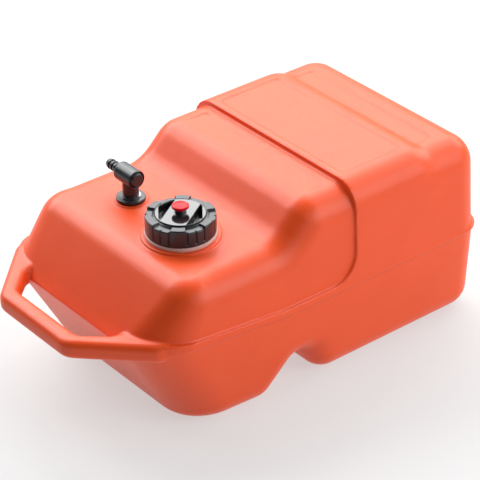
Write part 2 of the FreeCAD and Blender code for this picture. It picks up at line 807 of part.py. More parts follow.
def build_pickup_elbow():
    """Swivelling elbow: a spigot in the flange, a stem and a barrel across the top."""
    radius = swivel_bore / 2 - swivel_gap
    spigot = turned(pickup_x, pickup_y, [
        (0, spigot_foot, 0),
        (radius, spigot_foot, 0.6),
        (radius, collar_head + seat_gap, 0),
        (stem_diameter / 2, collar_head + seat_gap, 0.6),
        (stem_diameter / 2, barrel_axis, 0),
        (0, barrel_axis, 0),
    ])
    for height in ring_heights:
        spigot = spigot.cut(disc(
            pickup_x, pickup_y, height - ring_groove / 2, height + ring_groove / 2,
            swivel_bore, ring_root,
        ))
    spigot = spigot.cut(disc(
        pickup_x, pickup_y, clip_foot - seat_gap, clip_foot + clip_height + seat_gap,
        swivel_bore, clip_bore - 2 * seat_gap,
    ))
    barrel = on_x(pickup_x, pickup_y, barrel_axis, [
        (-barrel_left, 0, 0),
        (barrel_right, 0, 0),
        (barrel_right, barrel_diameter / 2, barrel_right_round),
        (-barrel_left, barrel_diameter / 2, barrel_left_round),
    ])
    elbow = spigot.fuse(barrel)
    head = on_x(pickup_x, pickup_y, barrel_axis, [
        (barrel_right - plug_head, 0, 0),
        (barrel_right + 1, 0, 0),
        (barrel_right + 1, plug_head_diameter / 2 + plug_head_gap, 0),
        (barrel_right - plug_head, plug_head_diameter / 2 + plug_head_gap, 0),
    ])
    port = port_diameter / 2 + ring_gap
    plug_end = barrel_right - plug_head - plug_length
    plug_port = on_x(pickup_x, pickup_y, barrel_axis, [
        (plug_end - socket_gap, 0, 0),
        (barrel_right, 0, 0),
        (barrel_right, port, 0),
        (plug_end - socket_gap, port, 0),
    ])
    barb_port = on_x(pickup_x, pickup_y, barrel_axis, [
        (-barrel_left - 1, 0, 0),
        (-barrel_left + barb_tail + socket_gap, 0, 0),
        (-barrel_left + barb_tail + socket_gap, port, 0),
        (-barrel_left - 1, port, 0),
    ])
    across = on_x(pickup_x, pickup_y, barrel_axis, [
        (-barrel_left, 0, 0),
        (barrel_right - plug_head, 0, 0),
        (barrel_right - plug_head, fuel_bore / 2, 0),
        (-barrel_left, fuel_bore / 2, 0),
    ])
    for hollow in (head, plug_port, barb_port, across):
        elbow = elbow.cut(hollow)
    elbow = elbow.cut(disc(pickup_x, pickup_y, spigot_foot - 1, barrel_axis, fuel_bore))
    return elbow.removeSplitter()


def build_swivel_o_ring(height):
    centre = Vector(pickup_x, pickup_y, height)
    return o_ring(centre, Vector(0, 0, 1), ring_root + 2 * ring_gap + ring_section, ring_section)


def build_barrel_plug():
    groove = plug_groove
    return on_x(pickup_x, pickup_y, barrel_axis, [
        (barrel_right - plug_head - plug_length, 0, 0),
        (barrel_right - plug_head, 0, 0),
        (plug_face, 0, 0),
        (plug_face, plug_head_diameter / 2 - plug_chamfer, 0.6),
        (plug_face - plug_chamfer, plug_head_diameter / 2, 0.6),
        (barrel_right - plug_head, plug_head_diameter / 2, 0),
        (barrel_right - plug_head, port_diameter / 2, 0),
        (groove + ring_groove / 2, port_diameter / 2, 0),
        (groove + ring_groove / 2, port_ring_root / 2, 0),
        (groove - ring_groove / 2, port_ring_root / 2, 0),
        (groove - ring_groove / 2, port_diameter / 2, 0),
        (barrel_right - plug_head - plug_length, port_diameter / 2, 0.6),
    ])


def build_port_ring(along):
    centre = Vector(pickup_x + along, pickup_y, barrel_axis)
    return o_ring(centre, Vector(1, 0, 0), port_ring_root + 2 * ring_gap + ring_section, ring_section)


def build_hose_barb():
    """Hose tail: a plain shank with a seal groove in the barrel, and saw-tooth ridges outside."""
    start = -barrel_left
    root = barb_root / 2
    crest = barb_crest / 2
    outline = [
        (start + barb_tail, fuel_bore / 2, 0),
        (start + barb_tail, port_diameter / 2, 0.6),
        (barb_groove + ring_groove / 2, port_diameter / 2, 0),
        (barb_groove + ring_groove / 2, port_ring_root / 2, 0),
        (barb_groove - ring_groove / 2, port_ring_root / 2, 0),
        (barb_groove - ring_groove / 2, port_diameter / 2, 0),
        (start, port_diameter / 2, 0),
        (start, barb_collar / 2, 0),
        (start - barb_collar_length, barb_collar / 2, 0.5),
        (start - barb_collar_length, root, 0),
    ]
    first = barb_collar_length + barb_neck
    pitch = (barb_length - first) / barb_count
    for ridge in range(barb_count):
        near = start - first - pitch * ridge
        outline.append((near, root, 0))
        outline.append((near, crest, 0))
        outline.append((near - barb_land, crest, 0))
        outline.append((near - pitch, root, 0))
    outline.append((start - barb_length, fuel_bore / 2, 0))
    corners = [outline[0]]
    for corner in outline[1:]:
        if abs(corner[0] - corners[-1][0]) + abs(corner[1] - corners[-1][1]) > 1e-6:
            corners.append(corner)
    return on_x(pickup_x, pickup_y, barrel_axis, corners)


def build_dip_tube():
    return disc(pickup_x, pickup_y, strainer_top - strainer_grip, flange_tail, tube_outer, tube_bore)


def build_inlet_strainer():
    """Push-on inlet screen with upright slots."""
    foot = wall + strainer_clear
    radius = strainer_diameter / 2
    grip = strainer_top - strainer_grip
    strainer = turned(pickup_x, pickup_y, [
        (0, foot, 0),
        (radius, foot, 1.2),
        (radius, strainer_top, 0.8),
        (tube_outer / 2 + ring_gap, strainer_top, 0),
        (tube_outer / 2 + ring_gap, grip, 0),
        (tube_bore / 2, grip, 0),
        (tube_bore / 2, foot + strainer_foot, 0),
        (0, foot + strainer_foot, 0),
    ])
    for slot in range(strainer_slots):
        cutter = Part.makeBox(
            strainer_diameter, strainer_slot_width, grip - foot - 2 * strainer_band,
            Vector(0, -strainer_slot_width / 2, foot + strainer_band),
        )
        cutter.rotate(Vector(0, 0, 0), Vector(0, 0, 1), 360.0 / strainer_slots * (slot + 0.5))
        cutter.translate(Vector(pickup_x, pickup_y, 0))
        strainer = strainer.cut(cutter)
    return strainer


parts = {
    "tank_shell": build_tank_shell(),
    "collar_ring": build_collar_ring(),
    "cap_shell": build_cap_shell(),
    "cap_insert": build_cap_insert(),
    "cap_gasket": build_cap_gasket(),
    "vent_seat": build_vent_seat(),
    "vent_o_ring": build_vent_o_ring(),
    "vent_stem": build_vent_stem(),
    "vent_knob": build_vent_knob(),
    "pickup_flange": build_pickup_flange(),
    "flange_gasket": build_flange_gasket(),
    "retaining_clip": build_retaining_clip(),
    "pickup_elbow": build_pickup_elbow(),
    "swivel_o_ring_upper": build_swivel_o_ring(ring_heights[0]),
    "swivel_o_ring_lower": build_swivel_o_ring(ring_heights[1]),
    "barrel_plug": build_barrel_plug(),
    "plug_o_ring": build_port_ring(plug_groove),
    "hose_barb": build_hose_barb(),
    "barb_o_ring": build_port_ring(barb_groove),
    "dip_tube": build_dip_tube(),
    "inlet_strainer": build_inlet_strainer(),
}

os.makedirs("parts", exist_ok=True)
for name, shape in parts.items():
    shape.exportStep("parts/" + name + ".step")
    print(name, shape.isValid(), len(shape.Solids), round(shape.Volume))
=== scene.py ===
# %% [markdown]
# # A portable outboard fuel tank
# The tank is one hollow piece of polyethylene, blow-moulded: a hot tube of plastic is blown against a
# cold mould. That gives soft edges, a fine grain and slightly wavy flats. The fittings on its low deck
# are injection moulded and much sharper. The engineering model is loaded first. It fixes every size and
# place, in metres, and it is never moved.

# %% Load the engineering model
import math

import bmesh
import bpy
import numpy as np
from mathutils import Matrix, Vector


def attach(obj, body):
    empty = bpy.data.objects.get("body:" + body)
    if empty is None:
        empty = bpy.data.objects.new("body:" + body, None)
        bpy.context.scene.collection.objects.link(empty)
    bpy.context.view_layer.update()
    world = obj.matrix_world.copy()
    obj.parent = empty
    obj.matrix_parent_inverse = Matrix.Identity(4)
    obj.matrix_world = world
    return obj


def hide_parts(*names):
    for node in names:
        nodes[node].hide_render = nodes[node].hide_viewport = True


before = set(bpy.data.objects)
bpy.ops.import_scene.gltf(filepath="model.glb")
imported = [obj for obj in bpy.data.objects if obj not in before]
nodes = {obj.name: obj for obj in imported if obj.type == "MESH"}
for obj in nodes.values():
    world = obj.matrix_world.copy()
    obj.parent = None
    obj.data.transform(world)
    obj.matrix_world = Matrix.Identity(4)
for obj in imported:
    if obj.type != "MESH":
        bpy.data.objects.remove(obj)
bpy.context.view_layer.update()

# %% [markdown]
# ## The camera
# The photograph was taken with a long lens, from the handle's end and the filler cap's side, looking
# down. A long lens keeps parallel edges nearly parallel. The camera's place was worked out from the
# tank's own straight edges.

# %% Camera
camera_azimuth = math.radians(51.04)
camera_elevation = math.radians(32.14)
camera_roll = math.radians(-0.48)
camera_place = Vector((1.7616, -1.4034, 1.5445))
sensor_width = 36.0
focal_length = 167.26

forward = Vector((
    -math.sin(camera_azimuth) * math.cos(camera_elevation),
    math.cos(camera_azimuth) * math.cos(camera_elevation),
    -math.sin(camera_elevation),
))
level = Vector((math.cos(camera_azimuth), math.sin(camera_azimuth), 0))
right = Matrix.Rotation(-camera_roll, 3, forward) @ level
upward = right.cross(forward)
camera_data = bpy.data.cameras.new("camera")
camera_data.sensor_width = sensor_width
camera_data.lens = focal_length
camera = bpy.data.objects.new("camera", camera_data)
camera_turn = Matrix((right, upward, -forward)).transposed().to_4x4()
camera.matrix_world = Matrix.Translation(camera_place) @ camera_turn
bpy.context.scene.collection.objects.link(camera)
bpy.context.scene.camera = camera
print("camera right:", [round(value, 4) for value in right], "up:", [round(value, 4) for value in upward])

# %% [markdown]
# ## Helpers for shapes
# Most fittings are turned shapes: an outline spun about an axis. An outline is a list of corners, each
# with its own rounding, because no moulded edge is quite sharp and a rounded edge is what catches the
# light.

# %% Outline helpers
MM = 0.001


def rounded_outline(corners, steps=6):
    """Points along a line through (radius, height, rounding) corners, all in millimetres."""
    points = []
    count = len(corners)
    for i, (u, v, rounding) in enumerate(corners):
        here = Vector((u, v))
        if rounding <= 0 or i in (0, count - 1):
            points.append(here)
            continue
        before = Vector(corners[i - 1][:2]) - here
        after = Vector(corners[i + 1][:2]) - here
        half = before.angle(after) / 2
        reach = min(rounding / math.tan(half), before.length * 0.49, after.length * 0.49)
        radius = reach * math.tan(half)
        before.normalize()
        after.normalize()
        centre = here + (before + after).normalized() * (radius / math.sin(half))
        start = here + before * reach - centre
        stop = here + after * reach - centre
        for step in range(steps + 1):
            share = step / steps
            points.append(centre + (start * (1 - share) + stop * share).normalized() * radius)
    return np.array([tuple(point) for point in points])


def spread_out(points, spacing):
    """The same line with extra points, so that no stretch is longer than the spacing."""
    line = [points[0]]
    for start, stop in zip(points[:-1], points[1:]):
        pieces = max(1, math.ceil(np.linalg.norm(stop - start) / spacing))
        for piece in range(1, pieces + 1):
            line.append(start + (stop - start) * piece / pieces)
    return np.array(line)


def smooth_step(low, high, value):
    """0 below the low value, 1 above the high one, and a soft curve between them."""
    share = np.clip((value - low) / (high - low), 0, 1)
    return share * share * (3 - 2 * share)


print("outline helpers ready")

# %% [markdown]
# Spinning an outline could be left to a modifier. Here the points are worked out directly, in many fine
# steps, because a second function can then press grooves into the surface or raise lugs from it while it
# is spun.

# %% Turning helper
def new_object(name, mesh):
    """Puts a mesh into the scene."""
    made = bpy.data.objects.new(name, mesh)
    bpy.context.scene.collection.objects.link(made)
    return made


def tidy(mesh, distance=1e-6):
    """Joins points that fall together and turns every face outwards."""
    work = bmesh.new()
    work.from_mesh(mesh)
    bmesh.ops.remove_doubles(work, verts=work.verts, dist=distance)
    bmesh.ops.recalc_face_normals(work, faces=work.faces)
    for face in work.faces:
        face.smooth = True
    work.to_mesh(mesh)
    work.free()
    return mesh


def turned(name, corners, centre, along_x=False, segments=128, spacing=100.0, press=None):
    """Spins an outline about the upright axis, or about the X axis, through a centre in millimetres."""
    line = spread_out(rounded_outline(corners), spacing)
    angles = np.linspace(0, 2 * math.pi, segments, endpoint=False)
    radius, angle = np.meshgrid(line[:, 0], angles)
    height = np.meshgrid(line[:, 1], angles)[0]
    if press is not None:
        radius, height = press(radius, height, angle)
    x = radius * np.cos(angle)
    y = radius * np.sin(angle)
    if along_x:
        places = np.stack([centre[0] + height, centre[1] + x, centre[2] + y], axis=-1)
    else:
        places = np.stack([centre[0] + x, centre[1] + y, centre[2] + height], axis=-1)
    rows = len(line)
    faces = []
    for i in range(segments):
        j = (i + 1) % segments
        for k in range(rows - 1):
            faces.append((i * rows + k, j * rows + k, j * rows + k + 1, i * rows + k + 1))
    mesh = bpy.data.meshes.new(name)
    mesh.from_pydata((places.reshape(-1, 3) * MM).tolist(), [], faces)
    return new_object(name, tidy(mesh))


print("turning helper ready")

# %% [markdown]
# A mould makes soft, hollow joins where two shapes meet. A voxel remesh gives one even skin over shapes
# that overlap, and a few rounds of smoothing then melt the joins. The result is kept as a plain mesh.

# %% Melting helper
def merged(name, pieces, voxel, smoothing):
    """Melts overlapping pieces into one skin with soft joins, as a mould makes them."""
    work = bmesh.new()
    for piece in pieces:
        work.from_mesh(piece.data)
        bpy.data.objects.remove(piece)
    mesh = bpy.data.meshes.new(name)
    work.to_mesh(mesh)
    work.free()
    made = new_object(name, mesh)
    remesh = made.modifiers.new("one_skin", "REMESH")
    remesh.mode = "VOXEL"
    remesh.voxel_size = voxel
    remesh.use_smooth_shade = True
    smooth = made.modifiers.new("soft_edges", "SMOOTH")
    smooth.factor = 0.5
    smooth.iterations = smoothing
    evaluated = made.evaluated_get(bpy.context.evaluated_depsgraph_get())
    baked = bpy.data.meshes.new_from_object(evaluated)
    made.modifiers.clear()
    made.data = baked
    baked.name = name
    return made


print("melting helper ready")

# %% [markdown]
# ## The blown shell
# The engineering model of the shell has the right form, but its facets are flat and its edges are as
# crisp as a machined part's. A blown part is softer. So its mesh is copied, the two bores are plugged,
# and the copy is wrapped in an even skin of small squares that is then relaxed. The skin of the hollow
# inside is dropped, since nothing shows it.

# %% Shell skin
deck_height = 196.6
filler_place = (41.5, -99.0)
pickup_place = (-57.4, -96.0)
neck_bore = 54.0
boss_bore = 26.0
plug_overlap = 1.0
skin_voxel = 1.5 * MM
skin_smoothing = 2

shell_copy = new_object("shell_copy", nodes["tank_shell"].data.copy())
neck_plug_radius = neck_bore / 2 + plug_overlap
neck_plug = turned("neck_plug", [
    (0, 0, 0), (neck_plug_radius, 0, 0), (neck_plug_radius, 20, 0), (0, 20, 0),
], (*filler_place, deck_height - 5))
boss_plug_radius = boss_bore / 2 + plug_overlap
boss_plug = turned("boss_plug", [
    (0, 0, 0), (boss_plug_radius, 0, 0), (boss_plug_radius, 12, 0), (0, 12, 0),
], (*pickup_place, deck_height - 9))
shell_skin = merged("tank_shell_skin", [shell_copy, neck_plug, boss_plug], skin_voxel, skin_smoothing)


def drop_inside(piece):
    """Removes the skin of the hollow, which nothing shows, and keeps the outer one."""
    work = bmesh.new()
    work.from_mesh(piece.data)
    outermost = max(work.verts, key=lambda vertex: vertex.co.z)
    reached = {outermost}
    edge_of_search = [outermost]
    while edge_of_search:
        following = []
        for vertex in edge_of_search:
            for edge in vertex.link_edges:
                other = edge.other_vert(vertex)
                if other not in reached:
                    reached.add(other)
                    following.append(other)
        edge_of_search = following
    bmesh.ops.delete(work, geom=[vertex for vertex in work.verts if vertex not in reached], context="VERTS")
    work.to_mesh(piece.data)
    work.free()


drop_inside(shell_skin)
print("outer skin:", len(shell_skin.data.polygons), "faces")

# %% [markdown]
# The mould leaves shallow sunk panels in the top: one across the slope's head, one on the raised band and
# one behind it. They could be cut as grooves, but a blown wall only dips a little with a soft edge. The
# even skin takes that by moving its points down about a millimetre inside each rounded rectangle. The
# front panel fades out on the slope.

# %% Sunk panels
panel_depth = 1.1
panel_edge = 1.0
panel_rounding = 6.0
lowest_panel_height = 225
panels = (
    (109.4, -20, 60, (15, 45)),
    (112.9, 82, 174, None),
    (109.0, 197, 227, None),
)


def rounded_box_distance(x, y, half_x, low_y, high_y, rounding):
    """How far a place is outside a rounded rectangle; negative inside it."""
    dx = np.abs(x) - half_x + rounding
    dy = np.abs(y - (low_y + high_y) / 2) - (high_y - low_y) / 2 + rounding
    outside = np.hypot(np.maximum(dx, 0), np.maximum(dy, 0))
    return outside + np.minimum(np.maximum(dx, dy), 0) - rounding


points = np.zeros(len(shell_skin.data.vertices) * 3)
shell_skin.data.vertices.foreach_get("co", points)
points = points.reshape(-1, 3) / MM
x, y, z = points.T
on_top = z > lowest_panel_height
for half_x, low_y, high_y, fade in panels:
    distance = rounded_box_distance(x, y, half_x, low_y, high_y, panel_rounding)
    inside = 1 - smooth_step(-panel_edge, panel_edge, distance)
    if fade:
        inside = inside * smooth_step(*fade, y)
    points[:, 2] -= panel_depth * inside * on_top
shell_skin.data.vertices.foreach_set("co", (points * MM).reshape(-1))
print("panels pressed in:", len(panels))

# %% [markdown]
# The collar under the cap and the boss under the pickup are small, crisp rings that an even skin would
# blur. The skin is cut away under them, and each is turned as a piece of its own, with a foot that flares
# out flat onto the deck.

# %% Collar, neck and boss
flare = 4.0
foot_drop = 0.15
buried_drop = 0.6
collar_radius = 46.5
collar_height = 2.2
boss_radius = 20.35
boss_height = 1.2
neck_height = 16.5
neck_root = 31.2
neck_base = 33.6
neck_base_height = 6.9

work = bmesh.new()
work.from_mesh(shell_skin.data)
covered = []
for vertex in work.verts:
    if vertex.co.z < (deck_height - 1.0) * MM:
        continue
    for place, radius in ((filler_place, collar_radius), (pickup_place, boss_radius)):
        if math.hypot(vertex.co.x / MM - place[0], vertex.co.y / MM - place[1]) < radius + flare * 0.5:
            covered.append(vertex)
            break
bmesh.ops.delete(work, geom=covered, context="VERTS")
work.to_mesh(shell_skin.data)
work.free()
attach(shell_skin, "tank")
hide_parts("tank_shell")

neck = turned("filler_neck", [
    (0, -20, 0), (neck_bore / 2, -20, 2), (neck_bore / 2, neck_height, 1.0), (neck_root, neck_height, 0.8),
    (neck_root, neck_base_height, 0.4), (neck_base, neck_base_height, 0.4), (neck_base, collar_height, 0.4),
    (collar_radius, collar_height, 1.6), (collar_radius, 0.0, 2.2), (collar_radius + flare, -foot_drop, 0),
    (collar_radius + flare + 1, -buried_drop, 0),
], (*filler_place, deck_height), segments=192)
boss = turned("pickup_boss", [
    (boss_bore / 2, -9, 0), (boss_bore / 2, boss_height, 0.3), (boss_radius, boss_height, 0.8),
    (boss_radius, 0.0, 0.8), (boss_radius + flare, -foot_drop, 0),
    (boss_radius + flare + 1, -buried_drop, 0),
], (*pickup_place, deck_height), segments=128)
print("collar, neck and boss made")

# %% [markdown]
# ### The screw thread
# The neck has two ridges that wind up it, each three quarters of a turn, and the cap has two between
# them. A screw modifier could sweep them, but it gives no run-out. So each ridge is a string of
# four-cornered sections, whose crest rises from nothing and sinks back at the ends, as a moulder has to
# make it.

# %% Neck threads
thread_lead = 8.0
thread_turns = 0.75
thread_foot = 205.1
thread_height = 1.9
thread_starts = 2
thread_root_width = 1.5
thread_crest_width = 0.75
thread_run_out = 0.08
thread_bury = 0.5
thread_steps = 90


def thread_ridge(name, low, root, crest, first_angle):
    """One right-hand ridge that winds up a neck, and runs out to nothing at both ends."""
    places = []
    for step in range(thread_steps + 1):
        share = step / thread_steps
        angle = first_angle + share * thread_turns * 2 * math.pi
        rise = low + share * thread_turns * thread_lead
        full = float(smooth_step(0, thread_run_out, min(share, 1 - share)))
        tip = root + (crest - root) * full
        bury = root + (thread_bury if crest < root else -thread_bury)
        for radius, height in (
            (bury, -thread_root_width / 2),
            (tip, -thread_crest_width / 2),
            (tip, thread_crest_width / 2),
            (bury, thread_root_width / 2),
        ):
            places.append((
                filler_place[0] + radius * math.cos(angle),
                filler_place[1] + radius * math.sin(angle),
                rise + height,
            ))
    faces = [(0, 1, 2, 3), tuple(thread_steps * 4 + i for i in (3, 2, 1, 0))]
    for step in range(thread_steps):
        for i in range(4):
            j = (i + 1) % 4
            faces.append((step * 4 + i, step * 4 + 4 + i, step * 4 + 4 + j, step * 4 + j))
    mesh = bpy.data.meshes.new(name)
    mesh.from_pydata((np.array(places) * MM).tolist(), [], faces)
    made = new_object(name, tidy(mesh))
    made.data.shade_flat()
    return made


neck_threads = [
    thread_ridge(f"neck_thread_{start}", thread_foot, neck_root, neck_root + thread_height, math.pi * start)
    for start in range(thread_starts)
]
for piece in (neck, boss, *neck_threads):
    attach(piece, "tank")
print("neck threads:", len(neck_threads))

# %% [markdown]
# ## The filler cap
# The cap is two mouldings. The outer one is a ring to grip: six smooth lugs stand up from its rim, and
# between them the skirt has upright grooves. It is turned first, with the lugs raised and the grooves
# pressed in while it is spun.

# %% Cap shell
cap_radius = 41.0
cap_foot = 203.8
cap_top = 223.0
shell_bore = 36.3
plate_top = 216.6
hole_radius = 29.6
lip_radius = 33.0
lip_rise = 2.6
lug_count = 6
lug_height = 2.7
lug_arc = math.radians(28)
lug_side = math.radians(1.6)
first_lug = math.radians(18)
groove_pitch = math.radians(15)
groove_half_width = 1.3 / cap_radius
groove_depth = 1.5
groove_foot = 2.8


def turn_from(angle, middle, period):
    """Signed angle from the nearest of evenly spaced middles."""
    return (angle - middle + period / 2) % period - period / 2


def press_cap(radius, height, angle):
    """Raises the lugs from the rim and sinks three grooves into the skirt between each two of them."""
    period = 2 * math.pi / lug_count
    from_lug = np.abs(turn_from(angle, first_lug, period))
    on_lug = 1 - smooth_step(lug_arc / 2 - lug_side, lug_arc / 2, from_lug)
    on_rim = smooth_step(lip_radius - 2.0, lip_radius - 1.4, radius)
    raised = smooth_step(cap_top - 4.0, cap_top - 1.0, height) * on_rim
    room = np.maximum(lug_height - np.maximum(height - cap_top, 0), 0)
    height = height + room * on_lug * raised
    groove = np.zeros_like(angle)
    for number in (-1, 0, 1):
        away = turn_from(angle, first_lug + period / 2 + number * groove_pitch, period)
        groove = np.maximum(groove, np.clip(1 - (away / groove_half_width) ** 2, 0, 1) ** 0.5)
    on_skirt = (radius > cap_radius - 2.0) & (height > cap_foot + groove_foot)
    return radius - groove_depth * groove * on_skirt, height


cap_shell = turned("cap_shell_grip", [
    (shell_bore, plate_top, 0), (shell_bore, cap_foot, 0.3),
    (cap_radius, cap_foot, 0.6), (cap_radius, cap_top, 1.6),
    (lip_radius, cap_top, 1.2), (hole_radius, cap_top + lip_rise, 0.5), (hole_radius, plate_top, 0.2),
    (shell_bore, plate_top, 0),
], (*filler_place, 0), segments=960, spacing=0.7, press=press_cap)
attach(cap_shell, "cap")
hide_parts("cap_shell")
print("cap shell:", len(cap_shell.data.polygons), "faces")

# %% [markdown]
# ### The cap's inner part
# The inner moulding is a glossy disc with a finger pocket each side of a wide web, a hub for the vent
# screw, and the thread below. The pockets could be cut with booleans, which leave ragged edges on a spun
# mesh. They are pressed in instead: wherever a point of the top lies inside a pocket's outline, it drops
# to the pocket's floor.

# %% Cap insert
web_top = 226.8
web_half = 15.7
pocket_floor = 216.9
pocket_radius = 28.2
pocket_flat = 24.6
pocket_turn = math.radians(32)
pocket_flat_turn = math.radians(21)
plug_foot = 208.6
plug_radius = 25.5
plate_foot = 215.1
insert_foot = 204.2
insert_bore = 33.5
insert_radius = 36.1
hub_radius = 6.8
hub_head = 230.8
shell_play = 0.2
thread_gap = 0.4
cap_thread_rise = 2.0


def press_insert(radius, height, angle):
    """Drops the top to the pockets' floor, with walls that lean a little so that the mould lets go."""
    depth = np.zeros_like(radius)
    for turn in (pocket_turn, pocket_turn + math.pi):
        across = radius * np.cos(angle - turn)
        to_flat = radius * np.cos(angle - turn - pocket_flat_turn)
        inside = np.minimum(np.minimum(pocket_radius - radius, across - web_half), pocket_flat - to_flat)
        depth = np.maximum(depth, smooth_step(-0.25, 0.45, inside))
    on_web = (radius > hub_radius + 0.5) & (radius < hole_radius - 0.8) & (height > web_top - 0.5)
    return radius, height - (web_top - pocket_floor) * depth * on_web


cap_insert = turned("cap_insert_web", [
    (0, plug_foot, 0), (plug_radius, plug_foot, 1.0),
    (plug_radius, plate_foot, 0.3), (insert_bore, plate_foot, 0.3),
    (insert_bore, insert_foot, 0.3), (insert_radius, insert_foot, 0.3), (insert_radius, plate_top, 0.2),
    (hole_radius - shell_play, plate_top, 0.2), (hole_radius - shell_play, web_top, 0.8),
    (hub_radius, web_top, 0.6),
    (hub_radius, hub_head, 0.8), (0, hub_head, 0),
], (*filler_place, 0), segments=720, spacing=0.35, press=press_insert)
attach(cap_insert, "cap")
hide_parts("cap_insert")
cap_threads = [
    thread_ridge(
        f"cap_thread_{start}", thread_foot + cap_thread_rise, insert_bore, neck_root + thread_gap,
        math.pi * start,
    )
    for start in range(thread_starts)
]
for piece in cap_threads:
    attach(piece, "cap")
print("cap insert:", len(cap_insert.data.polygons), "faces")

# %% [markdown]
# ### Seal ring and vent knob
# A flat rubber ring lies on the collar, and the cap comes down on it. The vent knob is a small mushroom
# to pinch: a narrow foot, a waist that widens to a rounded rim, and a shallow dish on top. Both are plain
# turned shapes.

# %% Seal ring and vent knob
collar_top = 198.8
ring_top = 203.5
ring_bore = 33.9
ring_radius = 42.0
seal_ring = turned("collar_seal_ring", [
    (ring_bore, collar_top, 0), (ring_radius, collar_top, 0.8),
    (ring_radius, ring_top, 1.6), (ring_bore, ring_top, 0),
], (*filler_place, 0), segments=192)
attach(seal_ring, "tank")
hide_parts("collar_ring")

knob_foot = 231.1
knob_radius = 10.2
dish_height = 5.1
vent_knob = turned("vent_knob_head", [
    (0, 0, 0), (6.5, 0, 0.6), (knob_radius, 2.9, 1.4), (knob_radius, 4.9, 0.9), (8.9, 5.7, 0.8),
    (5.5, dish_height, 6.0), (0, dish_height, 0),
], (*filler_place, knob_foot), segments=128, spacing=0.8)
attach(vent_knob, "vent_screw")
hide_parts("vent_knob")
print("seal ring and vent knob made")

# %% [markdown]
# ## The pickup
# The elbow is one moulding: a stem that turns in the flange, and a barrel across its top. The two
# cylinders are melted together so that their join is a small hollow curve, as in the mould.

# %% Pickup elbow
axis_height = 228.6
spigot_foot = 189.9
spigot_radius = 7.4
stem_foot = 205.9
stem_radius = 9.75
barrel_radius = 11.5
barrel_left = -19.0
barrel_right = 13.0
recess_radius = 9.7
recess_depth = 2.5
elbow_voxel = 0.4 * MM
elbow_smoothing = 4

stem = turned("stem", [
    (0, spigot_foot, 0), (spigot_radius, spigot_foot, 0.6), (spigot_radius, stem_foot, 0),
    (stem_radius, stem_foot, 0.6), (stem_radius, axis_height, 0), (0, axis_height, 0),
], (*pickup_place, 0), segments=128)
barrel = turned("barrel", [
    (0, barrel_left, 0), (barrel_radius, barrel_left, 3.0), (barrel_radius, barrel_right, 1.0),
    (recess_radius, barrel_right, 0.4), (recess_radius, barrel_right - recess_depth, 0),
    (0, barrel_right - recess_depth, 0),
], (*pickup_place, axis_height), along_x=True, segments=128)
elbow = merged("pickup_elbow_body", [stem, barrel], elbow_voxel, elbow_smoothing)
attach(elbow, "pickup")
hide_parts("pickup_elbow")
print("pickup elbow:", len(elbow.data.polygons), "faces")

# %% [markdown]
# A plug closes the barrel's open end, and its head stands out a little. The hose tail goes in the other
# end. It has three ridges with a steep back and a long slope, so a hose slides on and can't slide off,
# and they are made by a loop.

# %% Plug and hose tail
plug_shank = 6.5
plug_inner_end = 2.5
plug_seat = 10.5
plug_face = 14.8
plug_head_radius = 8.9
plug_chamfer = 1.8
barrel_plug = turned("barrel_plug_head", [
    (0, plug_inner_end, 0), (plug_shank, plug_inner_end, 0.4), (plug_shank, plug_seat, 0),
    (plug_head_radius, plug_seat, 0.2), (plug_head_radius, plug_face - plug_chamfer, 0.6),
    (plug_head_radius - plug_chamfer, plug_face, 0.6), (0, plug_face, 0),
], (*pickup_place, axis_height), along_x=True, segments=128)
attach(barrel_plug, "pickup")
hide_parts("barrel_plug")

fuel_bore = 3.2
tail_root = 5.0
ridge_radius = 6.3
ridge_slope = 1.4
ridge_count = 3
ridge_pitch = 5.8
first_ridge = -23.6
tail_end = -41.0
tail = [
    (fuel_bore, -10.0, 0), (6.5, -10.0, 0.4), (6.5, -19.0, 0), (6.0, -19.0, 0), (6.0, -20.6, 0.4),
    (tail_root, -20.6, 0.3),
]
for ridge in range(ridge_count):
    near = first_ridge - ridge * ridge_pitch
    tail += [(tail_root, near, 0.2), (ridge_radius, near, 0.25), (ridge_radius, near - ridge_slope, 0.4)]
tail += [(tail_root, tail_end + 0.01, 0.4), (fuel_bore, tail_end, 0.2), (fuel_bore, -10.0, 0)]
hose_tail = turned("hose_barb_tail", tail, (*pickup_place, axis_height), along_x=True, segments=96)
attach(hose_tail, "pickup")
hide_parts("hose_barb")
print("plug and hose tail made")

# %% [markdown]
# The flange screws into the boss and carries the elbow. Its collar has a groove for the clip that holds
# the elbow in, and a nipple below for the dip tube. One turned outline goes all the way round it, outside
# and through its bore.

# %% Pickup flange
nipple_foot = 174.8
nipple_radius = 4.45
flange_tail = 186.8
flange_thread_radius = 12.8
flange_foot = 198.8
flange_radius = 17.5
flange_top = 202.2
groove_low = 202.4
groove_high = 203.8
groove_radius = 7.7
collar_head = 205.6
swivel_bore = 7.5
swivel_floor = 189.5
flange = turned("pickup_flange_base", [
    (fuel_bore, nipple_foot, 0), (nipple_radius, nipple_foot, 0.4), (nipple_radius, flange_tail, 0.2),
    (flange_thread_radius, flange_tail, 0.8), (flange_thread_radius, flange_foot, 0.2),
    (flange_radius, flange_foot, 0.6), (flange_radius, flange_top, 1.2), (stem_radius, flange_top, 0.1),
    (stem_radius, groove_low, 0), (groove_radius, groove_low, 0), (groove_radius, groove_high, 0),
    (stem_radius, groove_high, 0.1), (stem_radius, collar_head, 0.5), (swivel_bore, collar_head, 0.3),
    (swivel_bore, swivel_floor, 0.2), (fuel_bore, swivel_floor, 0.2), (fuel_bore, nipple_foot, 0),
], (*pickup_place, 0), segments=160)
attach(flange, "tank")
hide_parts("pickup_flange")
print("pickup flange made")

# %% [markdown]
# ## Materials
# Each starts from what the real piece is made of. Colours are written as on a screen, in sRGB hex, and
# one function turns them into the linear light that a renderer counts in. One small function adds a
# shader node.

